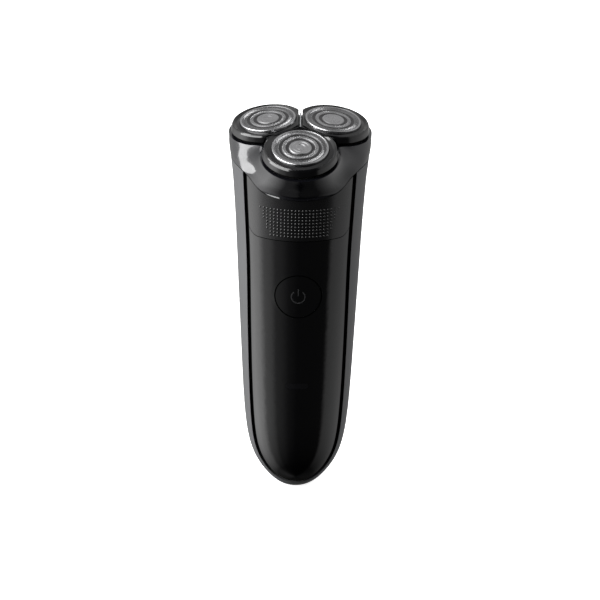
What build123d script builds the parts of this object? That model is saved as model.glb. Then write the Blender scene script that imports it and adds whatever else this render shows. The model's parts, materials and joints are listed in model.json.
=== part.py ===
"""Cordless rotary electric shaver: a slim handle and a pull-off head with three floating cutters.

Millimetres. +Z runs up the handle and the front faces -Y. The origin is the centre of the flat
tip under the handle, at the mouth of the charging port. The head sits on a plane that leans
forward, and each cutter pod leans outward from the head's own axis.
"""

import os
from math import acos, cos, hypot, pi, radians, sin, sqrt, tan

from build123d import *

os.makedirs("parts", exist_ok=True)

# Handle form: half-width at each height, with the depth as a share of the width.
half_width_at = [
    (4.4, -0.25), (8.0, 1.3), (11.1, 3.9), (14.5, 8.0), (17.15, 12.2), (19.05, 16.3), (20.4, 20.4),
    (21.9, 28.0), (23.1, 40.0), (24.0, 56.0), (25.0, 80.0), (26.0, 104.0), (26.9, 126.0),
    (27.65, 140.0), (28.2, 148.0), (29.0, 156.0), (29.8, 166.0), (30.5, 176.0),
]
depth_share = 0.883
shell_wall = 1.8
frame_gap = 0.1
frame_wall = 1.0
rest_flat_lean = 2.6  # degrees that the flat strip down the back leans from upright
rest_flat_depth = 0.5

# Groove between the front panel and the side bands: half-width of its middle at each height.
groove_at = [
    (0.0, 5.2), (6.0, 6.8), (9.6, 9.6), (13.0, 14.0), (16.6, 21.6), (18.5, 31.0), (19.4, 42.0),
    (19.95, 54.0), (20.3, 66.0), (20.6, 80.0), (20.9, 100.0), (21.25, 118.0), (22.0, 136.0),
    (22.6, 150.0), (23.2, 166.0),
]
groove_width = 1.6
grip_bottom_z = 126.6
grip_corner = 4.6
grip_seam = 0.3

# Power button and its switch.
button_z = 100.9
button_radius = 9.6
button_hole_radius = 10.1
button_travel = 0.5
status_z = 58.0

# Head frame: it leans forward and the trefoil's centre sits a little behind the handle's axis.
head_lean = 10.0
head_z = 149.65
trefoil_back = 2.0
seam_gap = 0.4
seam_side = 7.5  # height of the joint line at the sides and back, above the head plane
chin_line = [(0.0, 0.0), (9.2, 0.45), (15.9, 1.7), (18.6, 3.6), (21.1, 5.9), (24.2, 7.3), (27.5, 7.5)]
collar_wall = 1.6

# Pods, guards and cutters, measured along each pod's own axis from the guard plane.
pod_lean = 7.0
pod_radius = 15.76
pod_plane_height = 18.0
guard_radius = 11.8
guard_top = 0.8
guard_skin = 0.55
pod_top_radius = 15.0
pod_skirt_radius = 15.8
pod_skirt = 2.7
pod_gap = 1.6
rim_drop = 4.0
rim_radius = 16.4
collar_swell = 0.7
pod_bore = 12.0
retainer_top = 3.4
retainer_bottom = 4.3
slots_per_track = 45
slot_width = 0.42

# Gear train inside the head: a centre pinion drives three cutter gears.
gear_module = 0.8
pinion_teeth = 15
cutter_teeth = 23
spindle_radius = gear_module * (pinion_teeth + cutter_teeth) / 2
gear_low = 8.6
gear_thick = 1.5
axle_radius = 0.8
hub_radius = 3.0
hub_bore = 2.05
spindle_shaft = 2.0
spindle_flats = 3.4
tip_hex = 1.5
socket_hex = 2.0

# Motor and battery.
motor_radius = 12.0
motor_flats = 18.0
motor_top = -12.0
motor_length = 30.0
battery_radius = 9.1
battery_length = 65.0
battery_low = 27.05
battery_y = 6.3
board_front_y = -13.8
board_thick = 1.6

lean = radians(head_lean)
head_up = Vector(0, -sin(lean), cos(lean))
head_back = Vector(0, cos(lean), sin(lean))
head_origin = Vector(0, 0, head_z) + head_back * trefoil_back
head_plane = Plane(origin=head_origin, x_dir=(1, 0, 0), z_dir=head_up)
pod_angles = [-90.0, 30.0, 150.0]


def head_point(x, v, w):
    """A point given across, behind and above the head plane's centre."""
    return head_origin + Vector(1, 0, 0) * x + head_back * v + head_up * w


def pod_plane_at(angle):
    """The guard plane of the pod in this direction, its x pointing away from the head's centre."""
    a, t = radians(angle), radians(pod_lean)
    out = Vector(1, 0, 0) * cos(a) + head_back * sin(a)
    origin = head_origin + out * pod_radius + head_up * pod_plane_height
    return Plane(origin=origin, x_dir=out * cos(t) - head_up * sin(t),
                 z_dir=head_up * cos(t) + out * sin(t))


pod_planes = [pod_plane_at(angle) for angle in pod_angles]
spindle_planes = [
    Plane(origin=head_point(spindle_radius * cos(radians(a)), spindle_radius * sin(radians(a)), 0),
          x_dir=head_back * sin(radians(a)) + Vector(1, 0, 0) * cos(radians(a)), z_dir=head_up)
    for a in pod_angles
]


def drawn_in(points, inset):
    """The handle's side line moved inward, square to itself."""
    moved = []
    for i, (r, z) in enumerate(points):
        r0, z0 = points[max(i - 1, 0)]
        r1, z1 = points[min(i + 1, len(points) - 1)]
        run, rise = r1 - r0, z1 - z0
        span = hypot(run, rise)
        moved.append((r - inset * rise / span, z + inset * run / span))
    return moved


def handle_form(inset):
    """The handle's solid form, drawn in all round by inset and running up past the neck."""
    side = drawn_in(half_width_at, inset)
    low, high = side[0][1], side[-1]
    with BuildPart() as form:
        with BuildSketch(Plane.XZ):
            with BuildLine():
                Line((0, low), side[0])
                Spline(*side)
                Line(high, (0, high[1]))
                Line((0, high[1]), (0, low))
            make_face()
        revolve(axis=Axis.Z)
        scale(by=(1, depth_share, 1))
    return form.part


def above_joint(drop):
    """Everything above the line where the head meets the handle, lowered by drop."""
    chin = Plane(origin=head_point(0, -6, 0), x_dir=(1, 0, 0), z_dir=-head_back)
    right = [(x, w - drop) for x, w in chin_line]
    left = [(-x, w) for x, w in reversed(right)]
    with BuildPart() as cut:
        with BuildSketch(chin):
            with BuildLine():
                Line((-60, seam_side - drop), left[0])
                Spline(*left, *right[1:])
                Line(right[-1], (60, seam_side - drop))
                Polyline((60, seam_side - drop), (60, 60), (-60, 60), (-60, seam_side - drop))
            make_face()
        extrude(amount=60)
        with BuildSketch(Plane(origin=head_point(0, -6, seam_side - drop), x_dir=(1, 0, 0),
                               z_dir=head_up)):
            Rectangle(120, 80, align=(Align.CENTER, Align.MIN))
        extrude(amount=60 - seam_side + drop)
    return cut.part


def below_joint():
    """Everything below the line where the head meets the handle."""
    chin = Plane(origin=head_point(0, -6, 0), x_dir=(1, 0, 0), z_dir=-head_back)
    left = [(-x, w) for x, w in reversed(chin_line)]
    with BuildPart() as cut:
        with BuildSketch(chin):
            with BuildLine():
                Line((-60, seam_side), left[0])
                Spline(*left, *chin_line[1:])
                Line(chin_line[-1], (60, seam_side))
                Polyline((60, seam_side), (60, -30), (-60, -30), (-60, seam_side))
            make_face()
        extrude(amount=60)
        with BuildSketch(Plane(origin=head_point(0, -6, -30), x_dir=(1, 0, 0), z_dir=head_up)):
            Rectangle(120, 80, align=(Align.CENTER, Align.MIN))
        extrude(amount=30 + seam_side)
    return cut.part


def front_window(margin, low_margin):
    """A prism through the front wall with the groove's outline, grown by margin."""
    right = [(x + margin if i else 0.0, z - low_margin if i == 0 else z - margin * 0.6)
             for i, (x, z) in enumerate(groove_at)]
    left = [(-x, z) for x, z in right]
    with BuildPart() as window:
        with BuildSketch(Plane.XZ):
            with BuildLine():
                Spline(*reversed(left), *right[1:])
                Line(right[-1], left[-1])
            make_face()
        extrude(amount=45)
    return window.part


def grip_prism(seam):
    """A prism through the front wall above the thumb grip's lower edge, lowered by seam."""
    low = grip_bottom_z - seam
    reach = 21.4
    with BuildPart() as prism:
        with BuildSketch(Plane.XZ):
            with BuildLine():
                Line((-reach + grip_corner, low), (reach - grip_corner, low))
                Spline((reach - grip_corner, low), (reach - 0.4, low + 3.4), (reach + 4.6, low + 11.0),
                       tangents=[(1, 0), (0.5, 1)])
                Spline((-reach + grip_corner, low), (0.4 - reach, low + 3.4), (-reach - 4.6, low + 11.0),
                       tangents=[(-1, 0), (-0.5, 1)])
                Polyline((reach + 4.6, low + 11.0), (reach + 4.6, 180), (-reach - 4.6, 180),
                         (-reach - 4.6, low + 11.0))
            make_face()
        extrude(amount=45)
    return prism.part


def front_post(radius, z):
    """A round bar through the front wall at height z."""
    with BuildPart() as post:
        with BuildSketch(Plane.XZ):
            with Locations((0, z)):
                Circle(radius)
        extrude(amount=45)
    return post.part


def slab(low, high):
    """A wide plate square to the head's axis between two heights above the head plane."""
    with BuildPart() as plate:
        with BuildSketch(head_plane.offset(low)):
            Rectangle(120, 120)
        extrude(amount=high - low)
    return plate.part


def level_slab(low, high, front):
    """A wide level plate between two heights, behind the given y."""
    with BuildPart() as plate:
        with BuildSketch(Plane.XY.offset(low)):
            with Locations((0, front)):
                Rectangle(80, 60, align=(Align.CENTER, Align.MIN))
        extrude(amount=high - low)
    return plate.part


def side_at(z):
    """The handle's half-width at a height."""
    for (r0, z0), (r1, z1) in zip(half_width_at, half_width_at[1:]):
        if z <= z1:
            return r0 + (r1 - r0) * (z - z0) / (z1 - z0)
    return half_width_at[-1][0]


def handle_reach(angle, w):
    """Distance from the head's axis to the handle's surface, in a direction and at a height."""
    near, far = 5.0, 45.0
    for _ in range(40):
        middle = (near + far) / 2
        p = head_point(middle * cos(angle), middle * sin(angle), w)
        a = side_at(p.Z)
        if (p.X / a) ** 2 + (p.Y / (a * depth_share)) ** 2 < 1:
            near = middle
        else:
            far = middle
    return near


def trefoil_reach(angle, lobe):
    """Distance from the head's axis to a rounded three-lobed outline around the pods."""
    total = 0.0
    for pod in pod_angles:
        d = angle - radians(pod)
        total += (pod_radius * cos(d) + sqrt(lobe**2 - (pod_radius * sin(d)) ** 2)) ** 12
    return total ** (1 / 12)


def joint_height(angle):
    """Height of the joint line in a direction: low at the chin, level at the sides and back."""
    x = abs(handle_reach(angle, 3.0) * cos(angle))
    if sin(angle) > -0.2 or x > chin_line[-1][0]:
        return seam_side
    for (x0, w0), (x1, w1) in zip(chin_line, chin_line[1:]):
        if x <= x1:
            return w0 + (w1 - w0) * (x - x0) / (x1 - x0)
    return seam_side


def rim_height(angle, drop):
    """Height above the head plane of the pods' lowered plane, over the trefoil's outline."""
    out = max(cos(angle - radians(pod)) for pod in pod_angles) * trefoil_reach(angle, rim_radius)
    t = radians(pod_lean)
    return pod_plane_height - drop / cos(t) - (out - pod_radius) * tan(t)


def collar_reach(angle, w):
    """Distance from the head's axis to the collar: the handle's section, swelling out to the rim."""
    start = joint_height(angle)
    share = (w - start) / (rim_height(angle, rim_drop) - start)
    share = max(0.0, min(1.15, share))
    near = handle_reach(angle, min(w, 9.0))
    flare = (trefoil_reach(angle, rim_radius) - near) * share**1.2
    return near + flare + collar_swell * sin(pi * min(share, 1.0))


def ring_points(reach):
    """Points round the head's axis at the distance that reach gives for each direction."""
    steps = 40
    angles = [pi / 2 + 2 * pi * i / steps for i in range(steps)]
    return [(reach(a) * cos(a), reach(a) * sin(a)) for a in angles]


def collar_form(inset):
    """The head's solid form, drawn in by inset, running from under the joint to above the rim."""
    with BuildPart() as form:
        for w in (-2.0, 1.5, 4.5, 7.0, 9.0, 10.8, 12.4, 14.2, 16.5):
            with BuildSketch(head_plane.offset(w)):
                with BuildLine():
                    Spline(*ring_points(lambda a: collar_reach(a, w) - inset), periodic=True)
                make_face()
        loft()
    return form.part


def case_prism(levels, inset, low, high):
    """A straight-sided block that fits inside the collar at all the given levels."""
    with BuildPart() as block:
        with BuildSketch(head_plane.offset(low)):
            with BuildLine():
                Spline(*ring_points(lambda a: min(collar_reach(a, w) for w in levels) - inset),
                       periodic=True)
            make_face()
        extrude(amount=high - low)
    return block.part


def under_pods(drop, low=-10.0):
    """Everything below the three pods' planes, each lowered by drop along its own axis."""
    with BuildPart() as block:
        with BuildSketch(head_plane.offset(low)):
            Circle(60)
        extrude(amount=40)
        for plane in pod_planes:
            with BuildSketch(plane.offset(-drop)):
                Rectangle(220, 220)
            extrude(amount=60, mode=Mode.SUBTRACT)
    return block.part


def gear_outline(teeth, half_pitch_turn):
    """Corner points of a spur gear's outline, turned by a half pitch when asked."""
    pitch_r = gear_module * teeth / 2
    base_r = pitch_r * cos(radians(20))
    tip_r, root_r = pitch_r + gear_module, pitch_r - 1.25 * gear_module

    def flank(r):
        """Half the tooth's angle at a radius, from the involute of a 20 degree gear."""
        r = max(r, base_r)
        roll = tan(acos(base_r / r)) - acos(base_r / r)
        at_pitch = tan(radians(20)) - radians(20)
        return pi / (2 * teeth) - 0.05 / pitch_r + at_pitch - roll

    points = []
    for i in range(teeth):
        middle = 2 * pi * (i + (0.5 if half_pitch_turn else 0)) / teeth
        for r, side in ((root_r, -1), (pitch_r, -1), (tip_r, -1), (tip_r, 1), (pitch_r, 1), (root_r, 1)):
            points.append((r * cos(middle + side * flank(r)), r * sin(middle + side * flank(r))))
    return points


outer_form = handle_form(0)
wall_form = handle_form(shell_wall)
frame_form = handle_form(shell_wall + frame_gap)
inside_form = handle_form(shell_wall + frame_gap + frame_wall)
inside = shell_wall + frame_gap + frame_wall
handle_top = above_joint(seam_gap)
head_bottom = below_joint()
panel_window = front_window(-groove_width / 2, -groove_width / 2)
band_window = front_window(groove_width / 2, groove_width / 2)
port_z = 9.0
socket_low = 2.65
port_length, port_width = 9.4, 5.4
tip_split = 5.0  # height at which the tip cap meets the rear shell


def port_bar(grow, low, high):
    """The charging port's stadium outline, grown on every side, between two heights."""
    with BuildPart() as bar:
        with BuildSketch(Plane.XY.offset(low)):
            SlotOverall(port_length + 2 * grow, port_width + 2 * grow)
        extrude(amount=high - low)
    return bar.part


# Tip cap: the closed end of the handle, with the charging port through its flat.
with BuildPart() as tip_cap:
    add(outer_form)
    add(wall_form, mode=Mode.SUBTRACT)
    add(band_window, mode=Mode.SUBTRACT)
    add(port_bar(0, -1, tip_split + 1), mode=Mode.SUBTRACT)
    with BuildSketch(Plane.XY):
        Rectangle(60, 60)
    extrude(amount=tip_split, mode=Mode.INTERSECT)
tip_cap.part.label = "tip_cap"
export_step(tip_cap.part, "parts/tip_cap.step")

# Rear shell: the back and both side bands, with the front window left open.
with BuildPart() as rear_shell:
    add(outer_form)
    add(wall_form, mode=Mode.SUBTRACT)
    add(band_window, mode=Mode.SUBTRACT)
    add(handle_top, mode=Mode.SUBTRACT)
    with BuildSketch(Plane.XY.offset(tip_split)):
        Rectangle(60, 60)
    extrude(amount=-tip_split - 5, mode=Mode.SUBTRACT)
    back_y = depth_share * 23.6 - rest_flat_depth
    with BuildSketch(Plane(origin=(0, back_y, 48), x_dir=(1, 0, 0),
                           z_dir=(0, cos(radians(rest_flat_lean)), -sin(radians(rest_flat_lean))))):
        Rectangle(80, 400)
    extrude(amount=30, mode=Mode.SUBTRACT)
rear_shell.part.label = "rear_shell"
export_step(rear_shell.part, "parts/rear_shell.step")

# Front cover: the glossy panel below the thumb grip, with the button's hole and a light window.
with BuildPart() as front_cover:
    add(outer_form)
    add(wall_form, mode=Mode.SUBTRACT)
    add(panel_window, mode=Mode.INTERSECT)
    add(grip_prism(grip_seam), mode=Mode.SUBTRACT)
    add(front_post(button_hole_radius, button_z), mode=Mode.SUBTRACT)
    with BuildSketch(Plane.XZ):
        with Locations((0, status_z)):
            SlotOverall(10.4, 3.0)
    extrude(amount=45, mode=Mode.SUBTRACT)
front_cover.part.label = "front_cover"
export_step(front_cover.part, "parts/front_cover.step")

# Thumb grip: the soft pad between the front cover and the head.
with BuildPart() as thumb_grip:
    add(outer_form)
    add(wall_form, mode=Mode.SUBTRACT)
    add(panel_window, mode=Mode.INTERSECT)
    add(grip_prism(0), mode=Mode.INTERSECT)
    add(handle_top, mode=Mode.SUBTRACT)
thumb_grip.part.label = "thumb_grip"
export_step(thumb_grip.part, "parts/thumb_grip.step")

# Light window: a smoked lens flush in the front cover, with a step behind it.
with BuildPart() as status_window:
    add(outer_form)
    add(handle_form(shell_wall), mode=Mode.SUBTRACT)
    with BuildSketch(Plane.XZ):
        with Locations((0, status_z)):
            SlotOverall(10.2, 2.8)
    extrude(amount=45, mode=Mode.INTERSECT)
status_window.part.label = "status_window"
export_step(status_window.part, "parts/status_window.step")

# Inner frame: the black tube under the shells, seen at the bottom of the side grooves.
rail_low, rail_high = 52.0, 112.0
with BuildPart() as rails:
    add(handle_form(inside - 0.3))
    with BuildSketch(Plane.XY.offset(rail_low)):
        with Locations((0, board_front_y - 0.8)):
            Rectangle(60, board_thick + 1.6, align=(Align.CENTER, Align.MIN))
            Rectangle(21, board_thick + 1.6, align=(Align.CENTER, Align.MIN), mode=Mode.SUBTRACT)
        with Locations((0, board_front_y - 0.05)):
            Rectangle(22.2, board_thick + 0.1, align=(Align.CENTER, Align.MIN), mode=Mode.SUBTRACT)
    extrude(amount=rail_high - rail_low, mode=Mode.INTERSECT)
with BuildPart() as shelves:
    add(level_slab(25.4, 26.6, -9.0))
    add(level_slab(92.5, 93.7, -9.0))
    add(handle_form(inside - 0.3), mode=Mode.INTERSECT)
boss_spots = [(-17.5, -1.0), (17.5, -1.0)]
with BuildPart() as bosses:
    with BuildSketch(head_plane.offset(-8.0)):
        with Locations(*boss_spots):
            Circle(3.2)
        for side in (-1, 1):
            with Locations((side * 22.5, -1.0)):
                Rectangle(10, 3.0)
    extrude(amount=5.4)
    add(handle_form(inside - 0.3), mode=Mode.INTERSECT)
with BuildPart() as inner_frame:
    add(frame_form)
    add(inside_form, mode=Mode.SUBTRACT)
    add(handle_top, mode=Mode.SUBTRACT)
    add(rails.part)
    add(shelves.part)
    add(bosses.part)
    with BuildSketch(head_plane.offset(-2.6)):
        with Locations(*boss_spots):
            Circle(1.05)
    extrude(amount=-4.6, mode=Mode.SUBTRACT)
    add(front_post(button_radius + 1.0, button_z), mode=Mode.SUBTRACT)
    add(front_post(1.6, status_z), mode=Mode.SUBTRACT)
    add(port_bar(1.6, 1, 5), mode=Mode.SUBTRACT)
inner_frame.part.label = "inner_frame"
export_step(inner_frame.part, "parts/inner_frame.step")

# Charging socket: a two-pin inlet in the tip.
with BuildPart() as charge_socket:
    with BuildSketch(Plane.XY.offset(socket_low)):
        SlotOverall(port_length + 3.0, port_width + 3.0)
    extrude(amount=port_z + 2.05 - socket_low)
    add(port_bar(0, 0, port_z), mode=Mode.SUBTRACT)
    with Locations((-2.0, 0, port_z + 1.0), (2.0, 0, port_z + 1.0)):
        Cylinder(0.65, 6, mode=Mode.SUBTRACT)
charge_socket.part.label = "charge_socket"
export_step(charge_socket.part, "parts/charge_socket.step")

with BuildPart() as charge_pins:
    with Locations((-2.0, 0, 5.2), (2.0, 0, 5.2)):
        Cylinder(0.6, 8.6, align=(Align.CENTER, Align.CENTER, Align.MIN))
    fillet(charge_pins.edges().filter_by(GeomType.CIRCLE).group_by(Axis.Z)[0], 0.25)
charge_pins.part.label = "charge_pins"
export_step(charge_pins.part, "parts/charge_pins.step")

# Socket gasket: the rubber ring that seals the inlet against the frame.
with BuildPart() as socket_gasket:
    with BuildSketch(Plane.XY.offset(6.0)):
        SlotOverall(port_length + 6.0, port_width + 6.0)
        SlotOverall(port_length + 3.1, port_width + 3.1, mode=Mode.SUBTRACT)
    extrude(amount=1.4)
socket_gasket.part.label = "socket_gasket"
export_step(socket_gasket.part, "parts/socket_gasket.step")

# Battery: one round cell standing behind the circuit board, with a tab on each end.
with BuildPart() as battery:
    with Locations((0, battery_y, battery_low)):
        Cylinder(battery_radius, battery_length, align=(Align.CENTER, Align.CENTER, Align.MIN))
    fillet(battery.edges(), 0.8)
battery.part.label = "battery"
export_step(battery.part, "parts/battery.step")

with BuildPart() as battery_tabs:
    with BuildSketch(Plane.XY.offset(26.65)):
        with Locations((0, battery_y)):
            Rectangle(7, 12)
    extrude(amount=0.35)
    with BuildSketch(Plane.XY.offset(battery_low + battery_length + 0.05)):
        with Locations((0, battery_y)):
            Rectangle(7, 12)
    extrude(amount=0.35)
battery_tabs.part.label = "battery_tabs"
export_step(battery_tabs.part, "parts/battery_tabs.step")

# Circuit board in the frame's rails, with its larger parts on the back and one light in front.
with BuildPart() as circuit_board:
    with BuildSketch(Plane.XZ.offset(-board_front_y)):
        with Locations((0, 82)):
            Rectangle(22, 68)
    extrude(amount=-board_thick)
    with BuildSketch(Plane.XZ.offset(-board_front_y - board_thick)):
        with Locations((-4, 64)):
            Rectangle(6, 6)
        with Locations((5, 74)):
            Rectangle(4, 7)
        with Locations((5, 60)):
            Rectangle(5, 3)
    extrude(amount=-1.4)
    with BuildSketch(Plane.XZ.offset(-board_front_y)):
        with Locations((0, status_z)):
            Rectangle(3.0, 1.6)
    extrude(amount=0.9)
circuit_board.part.label = "circuit_board"
export_step(circuit_board.part, "parts/circuit_board.step")

# Tactile switch on the board, behind the power button, and its plunger.
switch_front_y = board_front_y - 0.05 - 3.0
with BuildPart() as tact_switch:
    with BuildSketch(Plane.XZ.offset(-board_front_y + 0.05)):
        with Locations((0, button_z)):
            RectangleRounded(6, 6, 0.6)
    extrude(amount=3.0)
    with BuildSketch(Plane.XZ.offset(-switch_front_y)):
        with Locations((0, button_z)):
            Circle(1.95)
    extrude(amount=-2.4, mode=Mode.SUBTRACT)
tact_switch.part.label = "tact_switch"
export_step(tact_switch.part, "parts/tact_switch.step")

with BuildPart() as switch_plunger:
    with BuildSketch(Plane.XZ.offset(-switch_front_y - 1.5)):
        with Locations((0, button_z)):
            Circle(1.6)
    extrude(amount=2.8)
    fillet(switch_plunger.edges().group_by(Axis.Y)[0], 0.3)
switch_plunger.part.label = "switch_plunger"
export_step(switch_plunger.part, "parts/switch_plunger.step")

# Power button: a round cap that follows the panel, with a stem reaching the switch.
stem_tip_y = switch_front_y - 1.3 - 0.3
with BuildPart() as power_button:
    add(handle_form(0.12))
    add(handle_form(shell_wall - 0.05), mode=Mode.SUBTRACT)
    add(front_post(button_radius, button_z), mode=Mode.INTERSECT)
    with BuildSketch(Plane.XZ.offset(-stem_tip_y)):
        with Locations((0, button_z)):
            Circle(2.0)
    extrude(amount=21.4 + stem_tip_y)
power_button.part.label = "power_button"
export_step(power_button.part, "parts/power_button.step")

# Button seal: the thin rubber sheet behind the button's opening.
with BuildPart() as button_seal:
    add(handle_form(inside + 0.05))
    add(handle_form(inside + 0.65), mode=Mode.SUBTRACT)
    add(front_post(12.4, button_z), mode=Mode.INTERSECT)
    add(front_post(2.5, button_z), mode=Mode.SUBTRACT)
button_seal.part.label = "button_seal"
export_step(button_seal.part, "parts/button_seal.step")

# Neck deck: the plate that closes the handle under the head, with a seal round the drive shaft.
with BuildPart() as neck_deck:
    add(slab(-2.5, -1.0))
    add(handle_form(inside + 0.08), mode=Mode.INTERSECT)
    with BuildSketch(head_plane.offset(-1.0)):
        Circle(6.0)
    extrude(amount=1.6)
    with BuildSketch(head_plane.offset(-3)):
        Circle(3.4)
        with Locations(*boss_spots):
            Circle(1.1)
    extrude(amount=5, mode=Mode.SUBTRACT)
    with BuildSketch(head_plane.offset(-1.4)):
        with Locations(*boss_spots):
            Circle(2.1)
    extrude(amount=1, mode=Mode.SUBTRACT)
neck_deck.part.label = "neck_deck"
export_step(neck_deck.part, "parts/neck_deck.step")

with BuildPart() as shaft_seal:
    with BuildSketch(head_plane.offset(-2.3)):
        Circle(3.35)
        Circle(2.35, mode=Mode.SUBTRACT)
    extrude(amount=2.6)
shaft_seal.part.label = "shaft_seal"
export_step(shaft_seal.part, "parts/shaft_seal.step")


def screws(spots, seat, thread, length, head_r, head_h):
    """Round-headed screws standing on a seat height in the head frame, with a cross slot."""
    with BuildPart() as group:
        with BuildSketch(head_plane.offset(seat)):
            with Locations(*spots):
                Circle(head_r)
        extrude(amount=head_h)
        with BuildSketch(head_plane.offset(seat)):
            with Locations(*spots):
                Circle(thread)
        extrude(amount=-length)
        with BuildSketch(head_plane.offset(seat + head_h)):
            with Locations(*spots):
                Rectangle(head_r * 1.2, 0.35)
                Rectangle(0.35, head_r * 1.2)
        extrude(amount=-0.4, mode=Mode.SUBTRACT)
    return group.part


deck_screws = screws(boss_spots, -1.38, 1.0, 5.6, 2.0, 0.9)
deck_screws.label = "deck_screws"
export_step(deck_screws, "parts/deck_screws.step")

# Motor plate across the frame, the motor can under it, its end cap, rotor shaft and coupling.
motor_spots = [(-8.0, 0.0), (8.0, 0.0)]
with BuildPart() as motor_plate:
    add(slab(motor_top + 0.05, motor_top + 1.6))
    add(handle_form(inside + 0.08), mode=Mode.INTERSECT)
    with BuildSketch(head_plane.offset(motor_top)):
        Circle(3.6)
        with Locations(*motor_spots):
            Circle(1.1)
    extrude(amount=3, mode=Mode.SUBTRACT)
motor_plate.part.label = "motor_plate"
export_step(motor_plate.part, "parts/motor_plate.step")

with BuildPart() as motor_can:
    with BuildSketch(head_plane.offset(motor_top - motor_length)):
        Circle(motor_radius)
        Rectangle(30, motor_flats, mode=Mode.INTERSECT)
    extrude(amount=motor_length)
    fillet(motor_can.faces().sort_by(Axis.Z)[-1].edges(), 0.8)
    with BuildSketch(head_plane.offset(motor_top - motor_length)):
        Circle(motor_radius - 1.0)
        Rectangle(30, motor_flats - 2.0, mode=Mode.INTERSECT)
    extrude(amount=motor_length - 1.0, mode=Mode.SUBTRACT)
    with BuildSketch(head_plane.offset(motor_top)):
        Circle(1.6)
        with Locations(*motor_spots):
            Circle(1.05)
    extrude(amount=-3, mode=Mode.SUBTRACT)
motor_can.part.label = "motor_can"
export_step(motor_can.part, "parts/motor_can.step")

with BuildPart() as motor_cap:
    with BuildSketch(head_plane.offset(motor_top - motor_length - 1.5)):
        Circle(motor_radius - 0.2)
        Rectangle(30, motor_flats - 0.4, mode=Mode.INTERSECT)
    extrude(amount=1.45)
    with BuildSketch(head_plane.offset(motor_top - motor_length - 1.5)):
        with Locations((-6, 0), (6, 0)):
            Rectangle(0.5, 2.4)
    extrude(amount=-3.0)
motor_cap.part.label = "motor_cap"
export_step(motor_cap.part, "parts/motor_cap.step")

with BuildPart() as motor_rotor:
    with BuildSketch(head_plane.offset(motor_top - motor_length + 2.0)):
        Circle(7.2)
    extrude(amount=motor_length - 6.0)
    with BuildSketch(head_plane.offset(motor_top - motor_length + 1.0)):
        Circle(1.0)
    extrude(amount=motor_length + 6.0)
motor_rotor.part.label = "motor_rotor"
export_step(motor_rotor.part, "parts/motor_rotor.step")

with BuildPart() as drive_coupling:
    with BuildSketch(head_plane.offset(-9.0)):
        Circle(3.0)
    extrude(amount=5.0)
    with BuildSketch(head_plane.offset(-4.0)):
        Circle(2.0)
    extrude(amount=6.0)
    with BuildSketch(head_plane.offset(2.0)):
        RegularPolygon(2.1, 6)
    extrude(amount=5.6)
    chamfer(drive_coupling.faces().sort_by(Axis.Z)[-1].edges(), 0.35)
    with BuildSketch(head_plane.offset(-9.0)):
        Circle(1.05)
    extrude(amount=4.2, mode=Mode.SUBTRACT)
drive_coupling.part.label = "drive_coupling"
export_step(drive_coupling.part, "parts/drive_coupling.step")

motor_screws = screws(motor_spots, motor_top + 1.65, 1.0, 3.8, 1.9, 1.0)
motor_screws.label = "motor_screws"
export_step(motor_screws, "parts/motor_screws.step")

# Head shell: the collar that carries the pods.
collar_outer = collar_form(0)
collar_inner = collar_form(collar_wall)
under_rim = under_pods(rim_drop)
with BuildPart() as head_shell:
    add(collar_outer)
    add(head_bottom, mode=Mode.SUBTRACT)
    add(under_rim, mode=Mode.INTERSECT)
    add(collar_inner, mode=Mode.SUBTRACT)
head_shell.part.label = "head_shell"
export_step(head_shell.part, "parts/head_shell.step")

# Gear tray: the plate inside the collar, its spigot in the handle's neck and the gear bearings.
spindle_spots = [(spindle_radius * cos(radians(a)), spindle_radius * sin(radians(a)))
                 for a in pod_angles]
tray_low, tray_high = seam_side + 0.1, gear_low - 0.3


def neck_ring(inset):
    """Outline points that clear the handle's neck by inset at every height of the spigot."""
    return ring_points(lambda a: min(handle_reach(a, w) for w in (2.0, tray_low)) - inset)


with BuildPart() as gear_tray:
    add(case_prism((tray_low, tray_high), collar_wall + 0.12, tray_low, tray_high))
    with BuildSketch(head_plane.offset(2.0)):
        with BuildLine():
            Spline(*neck_ring(inside + 0.5), periodic=True)
        make_face()
        with BuildLine():
            Spline(*neck_ring(inside + 1.6), periodic=True)
        make_face(mode=Mode.SUBTRACT)
    extrude(amount=tray_low - 2.0)
    with BuildSketch(head_plane.offset(1.6)):
        with Locations(*spindle_spots):
            Circle(4.4)
        Circle(4.4)
    extrude(amount=tray_low - 1.6)
    with BuildSketch(head_plane.offset(2.6)):
        with Locations(*spindle_spots):
            Circle(hub_radius + 0.35)
    extrude(amount=8, mode=Mode.SUBTRACT)
    with BuildSketch(head_plane.offset(1.0)):
        with Locations(*spindle_spots):
            Circle(axle_radius + 0.02)
        Circle(3.26)
    extrude(amount=9, mode=Mode.SUBTRACT)
gear_tray.part.label = "gear_tray"
export_step(gear_tray.part, "parts/gear_tray.step")

with BuildPart() as gear_axles:
    with BuildSketch(head_plane.offset(1.65)):
        with Locations(*spindle_spots):
            Circle(axle_radius)
    extrude(amount=6.0)
gear_axles.part.label = "gear_axles"
export_step(gear_axles.part, "parts/gear_axles.step")

with BuildPart() as centre_pinion:
    with BuildSketch(head_plane.offset(gear_low)):
        with Locations(Location((0, 0), -90)):
            Polygon(*gear_outline(pinion_teeth, False), align=None)
    extrude(amount=gear_thick)
    with BuildSketch(head_plane.offset(2.2)):
        Circle(3.2)
    extrude(amount=gear_low - 2.2)
    with BuildSketch(head_plane.offset(2.2)):
        RegularPolygon(2.6, 6)
    extrude(amount=6.3, mode=Mode.SUBTRACT)
centre_pinion.part.label = "centre_pinion"
export_step(centre_pinion.part, "parts/centre_pinion.step")

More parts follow.
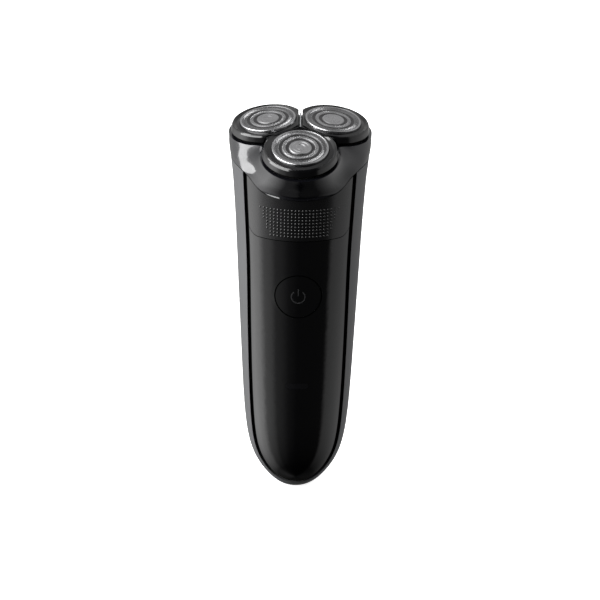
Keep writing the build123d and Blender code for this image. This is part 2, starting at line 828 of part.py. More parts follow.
# Hair chamber: the tray under the pods that closes the gear case.
chamber_levels = (9.6, 10.8, 12.0, 13.2, 14.6)
with BuildPart() as chamber_space:
    add(case_prism(chamber_levels, collar_wall + 1.0, 8.5, 20.0))
    add(under_pods(5.6), mode=Mode.SUBTRACT)
with BuildPart() as hair_chamber:
    add(case_prism(chamber_levels, collar_wall + 0.2, 8.5, 19.0))
    add(under_pods(5.3), mode=Mode.INTERSECT)
    add(under_pods(6.4), mode=Mode.SUBTRACT)
    add(chamber_space.part, mode=Mode.SUBTRACT)
    with BuildSketch(head_plane.offset(8)):
        with Locations(*spindle_spots):
            Circle(hub_radius + 1.1)
    extrude(amount=8, mode=Mode.SUBTRACT)
hair_chamber.part.label = "hair_chamber"
export_step(hair_chamber.part, "parts/hair_chamber.step")

# Centre web: the three-armed rib that shows between the pods.
with BuildPart() as centre_web:
    with BuildSketch(head_plane.offset(9)):
        for angle in (90, 210, 330):
            with Locations(Location((0, 0), angle)):
                Rectangle(15.2, 0.6, align=(Align.MIN, Align.CENTER))
    extrude(amount=12)
    add(under_pods(1.6), mode=Mode.INTERSECT)
    add(under_pods(5.55), mode=Mode.SUBTRACT)
centre_web.part.label = "centre_web"
export_step(centre_web.part, "parts/centre_web.step")

# One cutter gear with its tall hub, drawn on the head's axis and then set at each spindle.
with BuildPart() as gear_form:
    with BuildSketch(Plane.XY.offset(gear_low)):
        Polygon(*gear_outline(cutter_teeth, True), align=None)
    extrude(amount=gear_thick)
    with BuildSketch(Plane.XY.offset(3.0)):
        Circle(hub_radius)
    extrude(amount=8.1)
    with BuildSketch(Plane.XY.offset(4.0)):
        Circle(hub_bore)
        Rectangle(6, spindle_flats + 0.1, mode=Mode.INTERSECT)
    extrude(amount=10, mode=Mode.SUBTRACT)
    with BuildSketch(Plane.XY.offset(2)):
        Circle(axle_radius + 0.06)
    extrude(amount=4, mode=Mode.SUBTRACT)

# The sprung drive spindle: a flatted shaft in the hub with a six-sided tip.
with BuildPart() as spindle_form:
    with BuildSketch(Plane.XY.offset(9.05)):
        Circle(spindle_shaft)
        Rectangle(6, spindle_flats, mode=Mode.INTERSECT)
    extrude(amount=2.3)
    with BuildSketch(Plane.XY.offset(11.3)):
        Circle(1.05)
    extrude(amount=1.5)
    with BuildSketch(Plane.XY.offset(12.7)):
        RegularPolygon(tip_hex, 6)
    extrude(amount=1.8)
    chamfer(spindle_form.faces().sort_by(Axis.Z)[-1].edges(), 0.4)

# The spindle's return spring, standing on the hub's floor round the axle.
with BuildPart() as spring_form:
    with BuildLine(Plane.XY.offset(4.3)):
        coil = Helix(pitch=0.85, height=4.4, radius=1.4)
    with BuildSketch(Plane(origin=coil @ 0, z_dir=coil % 0)):
        Circle(0.18)
    sweep()

# One guard: a shallow cup with two slotted rings and a plain cap in the middle.
with BuildPart() as guard_form:
    with BuildSketch(Plane.XY.offset(-3.2)):
        Circle(guard_radius)
    extrude(amount=3.2 + guard_top)
    fillet(guard_form.faces().sort_by(Axis.Z)[-1].edges(), 0.4)
    with BuildSketch(Plane.XY.offset(-3.2)):
        Circle(12.1)
    extrude(amount=0.5)
    with BuildSketch(Plane.XY.offset(-3.3)):
        Circle(guard_radius - 0.5)
    extrude(amount=3.3 + guard_top - guard_skin, mode=Mode.SUBTRACT)
    with BuildSketch(Plane.XY.offset(guard_top - 0.15)):
        Circle(8.75)
        Circle(8.35, mode=Mode.SUBTRACT)
        Circle(5.8)
        Circle(5.45, mode=Mode.SUBTRACT)
    extrude(amount=1, mode=Mode.SUBTRACT)
    with BuildSketch(Plane.XY.offset(0)):
        with PolarLocations(0, slots_per_track):
            with Locations((7.1, 0)):
                Rectangle(2.0, slot_width)
            with Locations((9.9, 0)):
                Rectangle(2.0, slot_width)
    extrude(amount=2, mode=Mode.SUBTRACT)

# One pod: a glossy ring with a shallow moat, two flat sides and a skirt.
with BuildPart() as pod_form:
    with BuildSketch(Plane.XZ):
        Polygon((pod_bore, -4.35), (13.4, -4.35), (13.4, -pod_skirt - 0.1), (14.3, -pod_skirt),
                (pod_skirt_radius, -pod_skirt), (pod_top_radius + 0.3, -0.7), (pod_top_radius, -0.15),
                (14.65, 0.1), (14.15, -0.15), (13.4, -0.65), (12.6, -0.5), (pod_bore, -0.35), align=None)
    revolve(axis=Axis.Z)
    with BuildSketch(Plane.XY.offset(-5)):
        Circle(12.2)
    extrude(amount=2.35, mode=Mode.SUBTRACT)
    for angle in (150, 210):
        toward = Vector(cos(radians(angle)) * cos(radians(pod_lean)), sin(radians(angle)),
                        cos(radians(angle)) * sin(radians(pod_lean)))
        reach = pod_radius * sin(radians(60)) - pod_gap / 2
        with BuildSketch(Plane(origin=toward * reach, z_dir=toward)):
            Rectangle(60, 60)
        extrude(amount=20, mode=Mode.SUBTRACT)

# The clip under each pod that holds the guard and keeps the cutter in.
with BuildPart() as retainer_form:
    with BuildSketch(Plane.XY.offset(-retainer_bottom)):
        Circle(12.1)
        Circle(10.9, mode=Mode.SUBTRACT)
        Circle(5.3)
        with PolarLocations(0, 3, start_angle=60):
            with Locations((8.2, 0)):
                Rectangle(6.6, 1.8)
        Circle(4.0, mode=Mode.SUBTRACT)
    extrude(amount=retainer_bottom - retainer_top)

# One cutter: a ring of upright blades on a plastic hub that takes the spindle's tip.
with BuildPart() as blade_form:
    with BuildSketch(Plane.XY.offset(-2.6)):
        Circle(10.8)
        Circle(5.7, mode=Mode.SUBTRACT)
    extrude(amount=0.6)
    with BuildSketch(Plane.XY.offset(-2.1)):
        with PolarLocations(0, 9):
            with Locations(Location((8.5, 0.6), 8)):
                Rectangle(4.2, 0.7)
    extrude(amount=2.05)

with BuildPart() as hub_form:
    with BuildSketch(Plane.XY.offset(-2.6)):
        Circle(5.65)
    extrude(amount=0.6)
    with BuildSketch(Plane.XY.offset(-6.0)):
        Circle(3.3)
    extrude(amount=3.6)
    with BuildSketch(Plane.XY.offset(-6.0)):
        RegularPolygon(socket_hex, 6)
    extrude(amount=2.9, mode=Mode.SUBTRACT)

for number, (pod, spindle) in enumerate(zip(pod_planes, spindle_planes), 1):
    pod_ring = pod.location * pod_form.part
    pod_ring.label = f"pod_ring_{number}"
    export_step(pod_ring, f"parts/pod_ring_{number}.step")
    guard = pod.location * guard_form.part
    guard.label = f"guard_{number}"
    export_step(guard, f"parts/guard_{number}.step")
    retainer = pod.location * retainer_form.part
    retainer.label = f"guard_clip_{number}"
    export_step(retainer, f"parts/guard_clip_{number}.step")
    blades = pod.location * blade_form.part
    blades.label = f"cutter_blades_{number}"
    export_step(blades, f"parts/cutter_blades_{number}.step")
    hub = pod.location * hub_form.part
    hub.label = f"cutter_hub_{number}"
    export_step(hub, f"parts/cutter_hub_{number}.step")
    gear = spindle.location * Rot(0, 0, 180) * gear_form.part
    gear.label = f"cutter_gear_{number}"
    export_step(gear, f"parts/cutter_gear_{number}.step")
    spindle_part = spindle.location * spindle_form.part
    spindle_part.label = f"drive_spindle_{number}"
    export_step(spindle_part, f"parts/drive_spindle_{number}.step")
    spring = spindle.location * spring_form.part
    spring.label = f"spindle_spring_{number}"
    export_step(spring, f"parts/spindle_spring_{number}.step")
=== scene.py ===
"""Looks for the electric shaver: procedural materials, fine detail, soft studio light and camera."""

import json
import math

import bmesh
import bpy
from mathutils import Matrix, Vector


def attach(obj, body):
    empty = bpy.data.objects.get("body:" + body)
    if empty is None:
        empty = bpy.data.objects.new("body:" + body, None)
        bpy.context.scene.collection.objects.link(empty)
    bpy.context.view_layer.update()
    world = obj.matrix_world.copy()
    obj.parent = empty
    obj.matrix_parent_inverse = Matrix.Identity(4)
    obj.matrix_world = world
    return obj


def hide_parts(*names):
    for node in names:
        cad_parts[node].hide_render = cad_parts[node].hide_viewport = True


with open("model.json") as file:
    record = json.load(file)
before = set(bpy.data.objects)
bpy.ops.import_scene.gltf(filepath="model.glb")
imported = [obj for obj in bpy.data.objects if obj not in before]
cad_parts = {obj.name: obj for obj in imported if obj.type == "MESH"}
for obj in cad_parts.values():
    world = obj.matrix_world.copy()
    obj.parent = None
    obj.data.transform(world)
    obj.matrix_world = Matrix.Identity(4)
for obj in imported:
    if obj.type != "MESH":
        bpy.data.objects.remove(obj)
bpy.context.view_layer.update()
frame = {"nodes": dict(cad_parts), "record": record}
MM = 0.001
nodes = frame["nodes"]

# Sizes shared with the CAD model, in millimetres and degrees.
HEAD_LEAN = math.radians(10.0)
HEAD_Z = 149.65
TREFOIL_BACK = 2.0
POD_LEAN = math.radians(7.0)
POD_RADIUS = 15.76
POD_PLANE_HEIGHT = 18.0
POD_ANGLES = (-90.0, 30.0, 150.0)
BUTTON_Z = 100.9
DEPTH_SHARE = 0.883
SIDE = ((4.4, -0.25), (8.0, 1.3), (11.1, 3.9), (14.5, 8.0), (17.15, 12.2), (19.05, 16.3),
        (20.4, 20.4), (21.9, 28.0), (23.1, 40.0), (24.0, 56.0), (25.0, 80.0), (26.0, 104.0),
        (26.9, 126.0), (27.65, 140.0), (28.2, 148.0), (29.0, 156.0), (29.8, 166.0), (30.5, 176.0))

UP = Vector((0, -math.sin(HEAD_LEAN), math.cos(HEAD_LEAN)))
BACK = Vector((0, math.cos(HEAD_LEAN), math.sin(HEAD_LEAN)))
ACROSS = Vector((1, 0, 0))
HEAD_ORIGIN = Vector((0, 0, HEAD_Z)) + BACK * TREFOIL_BACK


def half_width(z):
    """The handle's half-width at a height."""
    for (r0, z0), (r1, z1) in zip(SIDE, SIDE[1:]):
        if z <= z1:
            return r0 + (r1 - r0) * (z - z0) / (z1 - z0)
    return SIDE[-1][0]


def front_y(x, z, inset=0.0):
    """The y of the handle's front surface at x and z, drawn in by inset."""
    a = half_width(z) - inset
    return -DEPTH_SHARE * math.sqrt(max(a * a - x * x, 0.0))


def matrix_of(x_axis, y_axis, z_axis, origin):
    """The matrix that puts a piece's own axes and origin here."""
    m = Matrix.Identity(4)
    for i in range(3):
        m[i][0], m[i][1], m[i][2], m[i][3] = x_axis[i], y_axis[i], z_axis[i], origin[i]
    return m


def pod_matrix(angle):
    """Places a piece drawn on the pod's own axes, x pointing away from the head's centre."""
    turn = math.radians(angle)
    out = ACROSS * math.cos(turn) + BACK * math.sin(turn)
    origin = HEAD_ORIGIN + out * POD_RADIUS + UP * POD_PLANE_HEIGHT
    x_axis = out * math.cos(POD_LEAN) - UP * math.sin(POD_LEAN)
    z_axis = UP * math.cos(POD_LEAN) + out * math.sin(POD_LEAN)
    return matrix_of(x_axis, z_axis.cross(x_axis), z_axis, origin)


# ---------------------------------------------------------------- materials

BROAD_SCALE = 55.0
FLAKE_SCALE = 5200.0
GRAIN_DEPTH = 0.0002
GRAIN_SHARE = 0.4
DRIFT_LOW, DRIFT_HIGH = 0.3, 0.7


def link(tree, a, b):
    tree.links.new(a, b)


def finish_material(name, base, rough, metallic=0.0, vary=0.12, grain=900.0, bump=0.02,
                    rough_vary=0.08, specular=0.5, coat=0.0, coat_rough=0.05, stretch=(1, 1, 1),
                    detail=4.0, flake=0.0, painted_shade=0.0):
    """A moulded, painted or metal surface: colour and roughness drift a little and the grain is cut in.

    grain is in cycles per metre of object space, and stretch turns it into brushed lines. flake
    scatters the metallic share, and the last argument paints shade: the faces whose shade attribute is
    raised take a darker copy of the colour, by that share.
    """
    material = bpy.data.materials.new(name)
    material.use_nodes = True
    tree = material.node_tree
    shader = tree.nodes["Principled BSDF"]
    shader.inputs["Metallic"].default_value = metallic
    shader.inputs["Specular IOR Level"].default_value = specular
    shader.inputs["Coat Weight"].default_value = coat
    shader.inputs["Coat Roughness"].default_value = coat_rough
    where = tree.nodes.new("ShaderNodeTexCoord")
    scale = tree.nodes.new("ShaderNodeMapping")
    scale.inputs["Scale"].default_value = stretch
    link(tree, where.outputs["Object"], scale.inputs["Vector"])
    fine = tree.nodes.new("ShaderNodeTexNoise")
    fine.inputs["Scale"].default_value = grain
    fine.inputs["Detail"].default_value = detail
    link(tree, scale.outputs["Vector"], fine.inputs["Vector"])
    broad = tree.nodes.new("ShaderNodeTexNoise")
    broad.inputs["Scale"].default_value = BROAD_SCALE
    broad.inputs["Detail"].default_value = 3.0
    link(tree, where.outputs["Object"], broad.inputs["Vector"])
    ramp = tree.nodes.new("ShaderNodeValToRGB")
    low = [c * (1 - vary) for c in base]
    high = [min(1.0, c * (1 + vary)) for c in base]
    ramp.color_ramp.elements[0].color = (*low, 1)
    ramp.color_ramp.elements[1].color = (*high, 1)
    ramp.color_ramp.elements[0].position = DRIFT_LOW
    ramp.color_ramp.elements[1].position = DRIFT_HIGH
    mix = tree.nodes.new("ShaderNodeMath")
    mix.operation = "MULTIPLY_ADD"
    mix.inputs[1].default_value = GRAIN_SHARE
    link(tree, fine.outputs["Fac"], mix.inputs[0])
    share = tree.nodes.new("ShaderNodeMath")
    share.operation = "MULTIPLY"
    share.inputs[1].default_value = 1 - GRAIN_SHARE
    link(tree, broad.outputs["Fac"], share.inputs[0])
    link(tree, share.outputs[0], mix.inputs[2])
    link(tree, mix.outputs[0], ramp.inputs["Fac"])
    # Painted shade: faces with the shade attribute raised take the base colour darkened by this share,
    # standing in for real shadow.
    if painted_shade:
        painted_shade_mask = tree.nodes.new("ShaderNodeAttribute")
        painted_shade_mask.attribute_name = "painted_shade"
        shade = tree.nodes.new("ShaderNodeMixRGB")
        shade.inputs["Color2"].default_value = (*[c * (1 - painted_shade) for c in base], 1)
        link(tree, painted_shade_mask.outputs["Fac"], shade.inputs["Fac"])
        link(tree, ramp.outputs["Color"], shade.inputs["Color1"])
        link(tree, shade.outputs["Color"], shader.inputs["Base Color"])
    else:
        link(tree, ramp.outputs["Color"], shader.inputs["Base Color"])
    spread = tree.nodes.new("ShaderNodeMapRange")
    spread.inputs["From Min"].default_value = DRIFT_LOW
    spread.inputs["From Max"].default_value = DRIFT_HIGH
    spread.inputs["To Min"].default_value = max(0.02, rough - rough_vary / 2)
    spread.inputs["To Max"].default_value = rough + rough_vary / 2
    link(tree, mix.outputs[0], spread.inputs["Value"])
    link(tree, spread.outputs["Result"], shader.inputs["Roughness"])
    if flake:
        cells = tree.nodes.new("ShaderNodeTexVoronoi")
        cells.inputs["Scale"].default_value = FLAKE_SCALE
        link(tree, where.outputs["Object"], cells.inputs["Vector"])
        metal = tree.nodes.new("ShaderNodeMapRange")
        metal.inputs["To Min"].default_value = max(0.0, metallic - flake)
        metal.inputs["To Max"].default_value = min(1.0, metallic + flake)
        link(tree, cells.outputs["Color"], metal.inputs["Value"])
        link(tree, metal.outputs["Result"], shader.inputs["Metallic"])
    if bump:
        relief = tree.nodes.new("ShaderNodeBump")
        relief.inputs["Strength"].default_value = bump
        relief.inputs["Distance"].default_value = GRAIN_DEPTH
        link(tree, fine.outputs["Fac"], relief.inputs["Height"])
        link(tree, relief.outputs["Normal"], shader.inputs["Normal"])
    return material


MATERIALS = {
    "side_band": finish_material("side_band", (0.11, 0.112, 0.116), 0.45, vary=0.06, grain=4200,
                                 bump=0.12),
    "front_gloss": finish_material("front_gloss", (0.0022, 0.0022, 0.0026), 0.12, vary=0.2, grain=500,
                                   bump=0.0, rough_vary=0.03, coat=0.6, coat_rough=0.06),
    "soft_black": finish_material("soft_black", (0.004, 0.004, 0.0045), 0.26, vary=0.15, grain=5200,
                                  bump=0.05,
                                  coat=0.6, coat_rough=0.2),
    "smoked_lens": finish_material("smoked_lens", (0.006, 0.006, 0.007), 0.06, vary=0.1, grain=300,
                                   bump=0.0,
                                   rough_vary=0.02),
    "frame_black": finish_material("frame_black", (0.008, 0.008, 0.0085), 0.6, vary=0.15,
                                   grain=2600, bump=0.1),
    "plated_pin": finish_material("plated_pin", (0.75, 0.62, 0.34), 0.22, metallic=1.0, grain=3000,
                                  bump=0.05),
    "seal_rubber": finish_material("seal_rubber", (0.02, 0.02, 0.02), 0.75, grain=3000, bump=0.2),
    "battery_wrap": finish_material("battery_wrap", (0.05, 0.16, 0.33), 0.35, grain=1200, bump=0.04),
    "nickel": finish_material("nickel", (0.66, 0.64, 0.6), 0.3, metallic=1.0, grain=1500, bump=0.05,
                              stretch=(1, 8, 1)),
    "board_green": finish_material("board_green", (0.01, 0.09, 0.03), 0.3, vary=0.3, grain=1400,
                                   bump=0.1),
    "screw_steel": finish_material("screw_steel", (0.5, 0.5, 0.51), 0.3, metallic=1.0, grain=2500,
                                   bump=0.06),
    "motor_steel": finish_material("motor_steel", (0.55, 0.55, 0.56), 0.32, metallic=1.0, grain=900,
                                   bump=0.05,
                                   stretch=(1, 1, 9)),
    "plunger_white": finish_material("plunger_white", (0.75, 0.75, 0.72), 0.45, vary=0.04, grain=1800),
    "gear_white": finish_material("gear_white", (0.78, 0.77, 0.72), 0.4, vary=0.04, grain=1800),
    "collar_paint": finish_material("collar_paint", (0.0065, 0.0066, 0.009), 0.17, metallic=0.2,
                                    vary=0.08,
                                    grain=4800, bump=0.015, rough_vary=0.04, coat=1.0, coat_rough=0.08,
                                    flake=0.15),
    "web_grey": finish_material("web_grey", (0.36, 0.37, 0.38), 0.4, vary=0.05, grain=2200, bump=0.06),
    "pod_gloss": finish_material("pod_gloss", (0.0025, 0.0025, 0.003), 0.14, vary=0.2, grain=500,
                                 bump=0.0,
                                 rough_vary=0.03, coat=0.5, coat_rough=0.04),
    # guard_steel carries painted shade: its grooves and slotted band are darkened towards a fifth of the
    # steel's colour.
    "guard_steel": finish_material("guard_steel", (0.58, 0.58, 0.59), 0.25, metallic=1.0, vary=0.07,
                                   grain=2600,
                                   bump=0.05, painted_shade=0.8),
    "clip_grey": finish_material("clip_grey", (0.26, 0.26, 0.27), 0.45, grain=2000),
    "blade_steel": finish_material("blade_steel", (0.62, 0.62, 0.62), 0.24, metallic=1.0,
                                   grain=2400, bump=0.05),
    "hub_plastic": finish_material("hub_plastic", (0.06, 0.11, 0.25), 0.4, grain=2000),
    "spring_steel": finish_material("spring_steel", (0.55, 0.55, 0.55), 0.25, metallic=1.0, grain=2000),
    "spindle_plastic": finish_material("spindle_plastic", (0.7, 0.7, 0.68), 0.4, vary=0.05, grain=2000),
}

slot_of = {s["node"]: s["material_slot"] for s in frame["record"]["subparts"]}
for name, node in nodes.items():
    node.data.materials.clear()
    node.data.materials.append(MATERIALS[slot_of[name]])


def new_piece(name, bm, body, slot, material=None):
    """A finished mesh in millimetres becomes a piece that rides on a body."""
    bmesh.ops.scale(bm, vec=(MM, MM, MM), verts=bm.verts)
    mesh = bpy.data.meshes.new(name)
    bm.to_mesh(mesh)
    bm.free()
    mesh.materials.append(material or MATERIALS[slot])
    piece = bpy.data.objects.new(name, mesh)
    bpy.context.scene.collection.objects.link(piece)
    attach(piece, body)
    return piece


# ---------------------------------------------------------------- guards

# Radius and height of the guard's skin from its centre out, and the two slotted bands.
GUARD_SECTION = ((0.0, 0.5), (0.5, 0.48), (0.8, 0.62), (1.3, 0.62), (1.5, 0.5), (1.9, 0.5), (2.1, 0.7),
                 (2.9, 0.74), (3.1, 0.6), (3.4, 0.6), (3.6, 0.78), (4.5, 0.76), (4.8, 0.32), (6.0, 0.32),
                 (6.25, 0.74), (7.4, 0.76), (7.65, 0.32), (8.75, 0.32), (9.0, 0.7), (9.95, 0.76),
                 (10.9, 0.7), (11.05, 0.5), (11.2, 0.74), (11.5, 0.8), (11.7, 0.68), (11.8, 0.4),
                 (11.8, -2.9), (12.05, -2.95))
INNER_BAND = (6.25, 7.4)
OUTER_BAND = (9.0, 10.9)
OUTER_BAND_MIDDLE = 9.95
GUARD_STEPS = 360
STEPS_PER_SLOT = 3
SKIN_THICKNESS = 0.25
# Painted shade on the guard: skin below the groove height is darkened fully, and the rings of the outer
# slotted band by the share below.
GROOVE_HEIGHT = 0.4
BAND_PAINTED_SHADE = 0.45


def is_slot(r0, r1, step):
    """Whether the cell between two radii at this step round the guard is open."""
    banded = any(r0 >= low and r1 <= high for low, high in (INNER_BAND, OUTER_BAND))
    return banded and step % STEPS_PER_SLOT == 0


def painted_shade_at(r, h):
    """How much painted shade the skin gets: full in the grooves, partly on the rings of the outer
    slotted band.
    """
    if h < GROOVE_HEIGHT:
        return 1.0
    return BAND_PAINTED_SHADE if r in OUTER_BAND or r == OUTER_BAND_MIDDLE else 0.0


def make_guard(number, angle):
    """A thin steel guard with raised rings, two bands of radial slots and a turned-down skirt."""
    bm = bmesh.new()
    place = pod_matrix(angle)
    # Per-vertex painted shade for the grooves and the outer slotted band.
    painted_shade = bm.verts.layers.float.new("painted_shade")
    centre = bm.verts.new(place @ Vector((0, 0, GUARD_SECTION[0][1])))
    rings = []
    for r, h in GUARD_SECTION[1:]:
        ring = []
        for i in range(GUARD_STEPS):
            a = 2 * math.pi * i / GUARD_STEPS
            ring.append(bm.verts.new(place @ Vector((r * math.cos(a), r * math.sin(a), h))))
            ring[-1][painted_shade] = painted_shade_at(r, h)
        rings.append((r, ring))
    for i in range(GUARD_STEPS):
        bm.faces.new((centre, rings[0][1][i], rings[0][1][(i + 1) % GUARD_STEPS]))
    for (r0, inner), (r1, outer) in zip(rings, rings[1:]):
        for i in range(GUARD_STEPS):
            if not is_slot(r0, r1, i):
                j = (i + 1) % GUARD_STEPS
                bm.faces.new((inner[i], outer[i], outer[j], inner[j]))
    for face in bm.faces:
        face.smooth = True
    piece = new_piece(f"guard_skin_{number}", bm, f"pod_{number}", "guard_steel")
    skin = piece.modifiers.new("thickness", "SOLIDIFY")
    skin.thickness = SKIN_THICKNESS * MM
    skin.offset = -1
    crease = piece.modifiers.new("edges", "WEIGHTED_NORMAL")
    crease.keep_sharp = True
    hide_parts(f"guard_{number}")


for number, angle in enumerate(POD_ANGLES, 1):
    make_guard(number, angle)


# ---------------------------------------------------------------- thumb grip and button

def add_dome(bm, centre, normal, radius, height, sides=10):
    """A low round pip standing on a surface."""
    across = normal.orthogonal().normalized()
    along = normal.cross(across)
    rings = []
    for share, lift in ((1.0, -0.12), (0.92, 0.4), (0.62, 0.85)):
        rings.append([bm.verts.new(centre + (across * math.cos(t) + along * math.sin(t)) * radius * share
                                   + normal * height * lift)
                      for t in (2 * math.pi * k / sides for k in range(sides))])
    top = bm.verts.new(centre + normal * height)
    for lower, upper in zip(rings, rings[1:]):
        for k in range(sides):
            bm.faces.new((lower[k], lower[(k + 1) % sides], upper[(k + 1) % sides], upper[k]))
    for k in range(sides):
        bm.faces.new((rings[-1][k], rings[-1][(k + 1) % sides], top))
    bm.faces.new(list(reversed(rings[0])))


def surface_normal(x, z):
    """The outward normal of the handle's front at x and z."""
    a = half_width(z)
    y = front_y(x, z)
    slope = (front_y(x, z + 1) - front_y(x, z - 1)) / 2
    n = Vector((x / a**2, y / (a * DEPTH_SHARE) ** 2, 0)).normalized()
    n.z = n.y * -slope
    return n.normalized()


PIP_PITCH = 1.48
PIP_ROWS = 9
PIP_LOW_Z = 128.6
PIP_RADIUS, PIP_HEIGHT = 0.46, 0.3
PIP_REACH_LOW, PIP_REACH_STEP = 12.4, 0.55


def make_pips():
    """Rows of raised pips on the thumb grip, in a field that narrows downwards."""
    bm = bmesh.new()
    for row in range(PIP_ROWS):
        z = PIP_LOW_Z + row * PIP_PITCH
        reach = PIP_REACH_LOW + row * PIP_REACH_STEP
        count = int(reach / PIP_PITCH)
        for k in range(-count, count + 1):
            x = k * PIP_PITCH
            place = Vector((x, front_y(x, z), z))
            add_dome(bm, place, surface_normal(x, z), PIP_RADIUS, PIP_HEIGHT)
    for face in bm.faces:
        face.smooth = True
    new_piece("grip_pips", bm, "handle", "soft_black")


make_pips()


MARK_RADIUS = 2.9
MARK_WIDTH = 0.42
MARK_LIFT = 0.03
MARK_GAP = math.radians(38)
MARK_STEPS = 40
BUTTON_INSET = 0.12


def ribbon(bm, points, width, lift, inset):
    """A thin flat strip laid on the front surface along points given as x and z."""
    rows = []
    for i, (x, z) in enumerate(points):
        x0, z0 = points[max(i - 1, 0)]
        x1, z1 = points[min(i + 1, len(points) - 1)]
        length = math.hypot(x1 - x0, z1 - z0)
        sx, sz = -(z1 - z0) / length * width / 2, (x1 - x0) / length * width / 2
        row = []
        for px, pz, out in ((x + sx, z + sz, lift), (x - sx, z - sz, lift),
                            (x - sx, z - sz, -lift), (x + sx, z + sz, -lift)):
            row.append(bm.verts.new((px, front_y(px, pz, inset) - out, pz)))
        rows.append(row)
    for a, b in zip(rows, rows[1:]):
        for k in range(4):
            bm.faces.new((a[k], a[(k + 1) % 4], b[(k + 1) % 4], b[k]))
    bm.faces.new(rows[0])
    bm.faces.new(list(reversed(rows[-1])))


def make_power_mark():
    """The plain on and off sign, a broken ring and a bar, standing a hair proud of the button."""
    bm = bmesh.new()
    sweep = 2 * math.pi - 2 * MARK_GAP
    ring = [(MARK_RADIUS * math.sin(t), BUTTON_Z + MARK_RADIUS * math.cos(t))
            for t in (MARK_GAP + sweep * k / MARK_STEPS for k in range(MARK_STEPS + 1))]
    bar = [(0, BUTTON_Z + 0.6 + 0.5 * k) for k in range(7)]
    for line in (ring, bar):
        ribbon(bm, line, MARK_WIDTH, MARK_LIFT, BUTTON_INSET)
    bmesh.ops.recalc_face_normals(bm, faces=bm.faces)
    material = finish_material("mark_grey", (0.035, 0.035, 0.037), 0.4, vary=0.1, grain=2000, bump=0.0)
    new_piece("power_mark", bm, "power_button", "front_gloss", material)


make_power_mark()


# ---------------------------------------------------------------- studio

FLOOR_SIZE = 8.0
FLOOR_DROP = 0.0004
FLOOR_GLOW = 0.85
# Brightness of the room round the object, by share of a turn: 0 and 1 are its front, 0.25 its left.
ROOM_STOPS = ((0.0, 0.02), (0.045, 0.06), (0.08, 0.17), (0.11, 0.22), (0.134, 0.52), (0.172, 0.7),
              (0.207, 1.75), (0.25, 2.0), (0.31, 1.2), (0.4, 0.35), (0.5, 0.45), (0.6, 0.35),
              (0.68, 0.58), (0.75, 0.52), (0.835, 0.37), (0.858, 0.03), (1.0, 0.02))
# The room darkens between these downward directions, to this share of its brightness.
SINK_LOW, SINK_HIGH, SINK_SHARE = -0.93, -0.55, 0.05


def make_floor():
    """A pale plain floor, wide enough to fill every view."""
    bpy.ops.mesh.primitive_plane_add(size=FLOOR_SIZE, location=(0, 0, -FLOOR_DROP))
    floor = bpy.context.active_object
    floor.name = "studio_floor"
    material = bpy.data.materials.new("studio_floor")
    material.use_nodes = True
    shader = material.node_tree.nodes["Principled BSDF"]
    shader.inputs["Base Color"].default_value = (0.9, 0.9, 0.9, 1)
    shader.inputs["Roughness"].default_value = 0.9
    shader.inputs["Specular IOR Level"].default_value = 0.0
    shader.inputs["Emission Color"].default_value = (1, 1, 1, 1)
    shader.inputs["Emission Strength"].default_value = FLOOR_GLOW
    floor.data.materials.append(material)
    floor.visible_glossy = False
    floor.visible_diffuse = False


def soft_light(name, place, aim, size, power, glossy=True, diffuse=True):
    """A soft rectangular light aimed at a point."""
    data = bpy.data.lights.new(name, "AREA")
    data.shape = "RECTANGLE"
    data.size, data.size_y = size
    data.energy = power
    lamp = bpy.data.objects.new(name, data)
    lamp.location = place
    way = Vector(aim) - Vector(place)
    lamp.rotation_euler = way.to_track_quat("-Z", "Y").to_euler()
    lamp.visible_glossy = glossy
    lamp.visible_diffuse = diffuse
    bpy.context.scene.collection.objects.link(lamp)


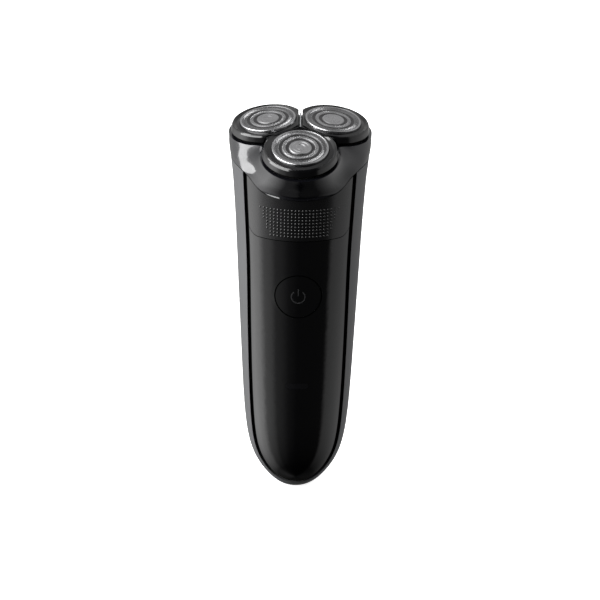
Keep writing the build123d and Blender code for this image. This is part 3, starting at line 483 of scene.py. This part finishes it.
def make_world():
    """A dim studio: grey round the room, darker straight ahead, with soft tall panels at the sides."""
    world = bpy.data.worlds.new("studio")
    bpy.context.scene.world = world
    world.use_nodes = True
    tree = world.node_tree
    back = tree.nodes["Background"]
    where = tree.nodes.new("ShaderNodeTexCoord")
    split = tree.nodes.new("ShaderNodeSeparateXYZ")
    link(tree, where.outputs["Generated"], split.inputs["Vector"])
    turn = tree.nodes.new("ShaderNodeMath")
    turn.operation = "ARCTAN2"
    link(tree, split.outputs["Y"], turn.inputs[1])
    link(tree, split.outputs["X"], turn.inputs[0])
    ramp = tree.nodes.new("ShaderNodeValToRGB")
    # turn runs from -pi to pi: 0 is behind the object, -pi/2 its left, and both ends its front
    share = tree.nodes.new("ShaderNodeMapRange")
    share.inputs["From Min"].default_value = -math.pi
    share.inputs["From Max"].default_value = math.pi
    link(tree, turn.outputs[0], share.inputs["Value"])
    link(tree, share.outputs["Result"], ramp.inputs["Fac"])
    peak = max(value for _, value in ROOM_STOPS)
    for end in (0, -1):
        stop = ramp.color_ramp.elements[end]
        stop.position = ROOM_STOPS[end][0]
        stop.color = (*[ROOM_STOPS[end][1] / peak] * 3, 1)
    for place, value in ROOM_STOPS[1:-1]:
        stop = ramp.color_ramp.elements.new(place)
        stop.color = (*[value / peak] * 3, 1)
    link(tree, ramp.outputs["Color"], back.inputs["Color"])
    sink = tree.nodes.new("ShaderNodeMapRange")
    sink.inputs["From Min"].default_value = SINK_LOW
    sink.inputs["From Max"].default_value = SINK_HIGH
    sink.inputs["To Min"].default_value = peak * SINK_SHARE
    sink.inputs["To Max"].default_value = peak
    link(tree, split.outputs["Z"], sink.inputs["Value"])
    link(tree, sink.outputs["Result"], back.inputs["Strength"])


make_floor()
make_world()
soft_light("key_left", (-0.55, -0.3, 0.5), (0, 0, 0.15), (0.5, 0.5), 6.0, glossy=False)
soft_light("shoulder_card", (-0.53, -0.289, 0.487), (0, 0, 0.15), (0.9, 0.7), 12.0, diffuse=False)
soft_light("fill_right", (0.7, -0.3, 0.4), (0, 0, 0.10), (0.3, 0.5), 0.7, glossy=False)
soft_light("top", (0.0, 0.2, 0.8), (0, 0, 0.15), (0.6, 0.4), 2.0, glossy=False)
soft_light("rear", (0.1, 0.8, 0.5), (0, 0, 0.1), (0.7, 0.5), 2.0, glossy=False)

# ---------------------------------------------------------------- camera

CAMERA_DISTANCE = 0.88
CAMERA_ELEVATION = math.radians(25.055)
CAMERA_AZIMUTH = math.radians(-0.23)
CAMERA_ROLL = math.radians(0.85)
CAMERA_TARGET = Vector((0, 0, 0.08))
CAMERA_LENS = 121.4
CAMERA_SHIFT = (0.0040, 0.032)
CAMERA_CLIP = 0.02


def make_camera():
    """The camera at the photograph's viewing angle."""
    back = Vector((math.sin(CAMERA_AZIMUTH) * math.cos(CAMERA_ELEVATION),
                   -math.cos(CAMERA_AZIMUTH) * math.cos(CAMERA_ELEVATION), math.sin(CAMERA_ELEVATION)))
    right = (-back).cross(Vector((0, 0, 1))).normalized()
    up = right.cross(-back)
    c, s = math.cos(CAMERA_ROLL), math.sin(CAMERA_ROLL)
    x_axis, y_axis = right * c + up * s, up * c - right * s
    data = bpy.data.cameras.new("photo_view")
    data.lens = CAMERA_LENS
    data.shift_x, data.shift_y = CAMERA_SHIFT
    data.clip_start = CAMERA_CLIP
    camera = bpy.data.objects.new("photo_view", data)
    camera.matrix_world = matrix_of(x_axis, y_axis, back, CAMERA_TARGET + back * CAMERA_DISTANCE)
    bpy.context.scene.collection.objects.link(camera)
    bpy.context.scene.camera = camera


make_camera()
bpy.context.scene.view_settings.view_transform = "Standard"
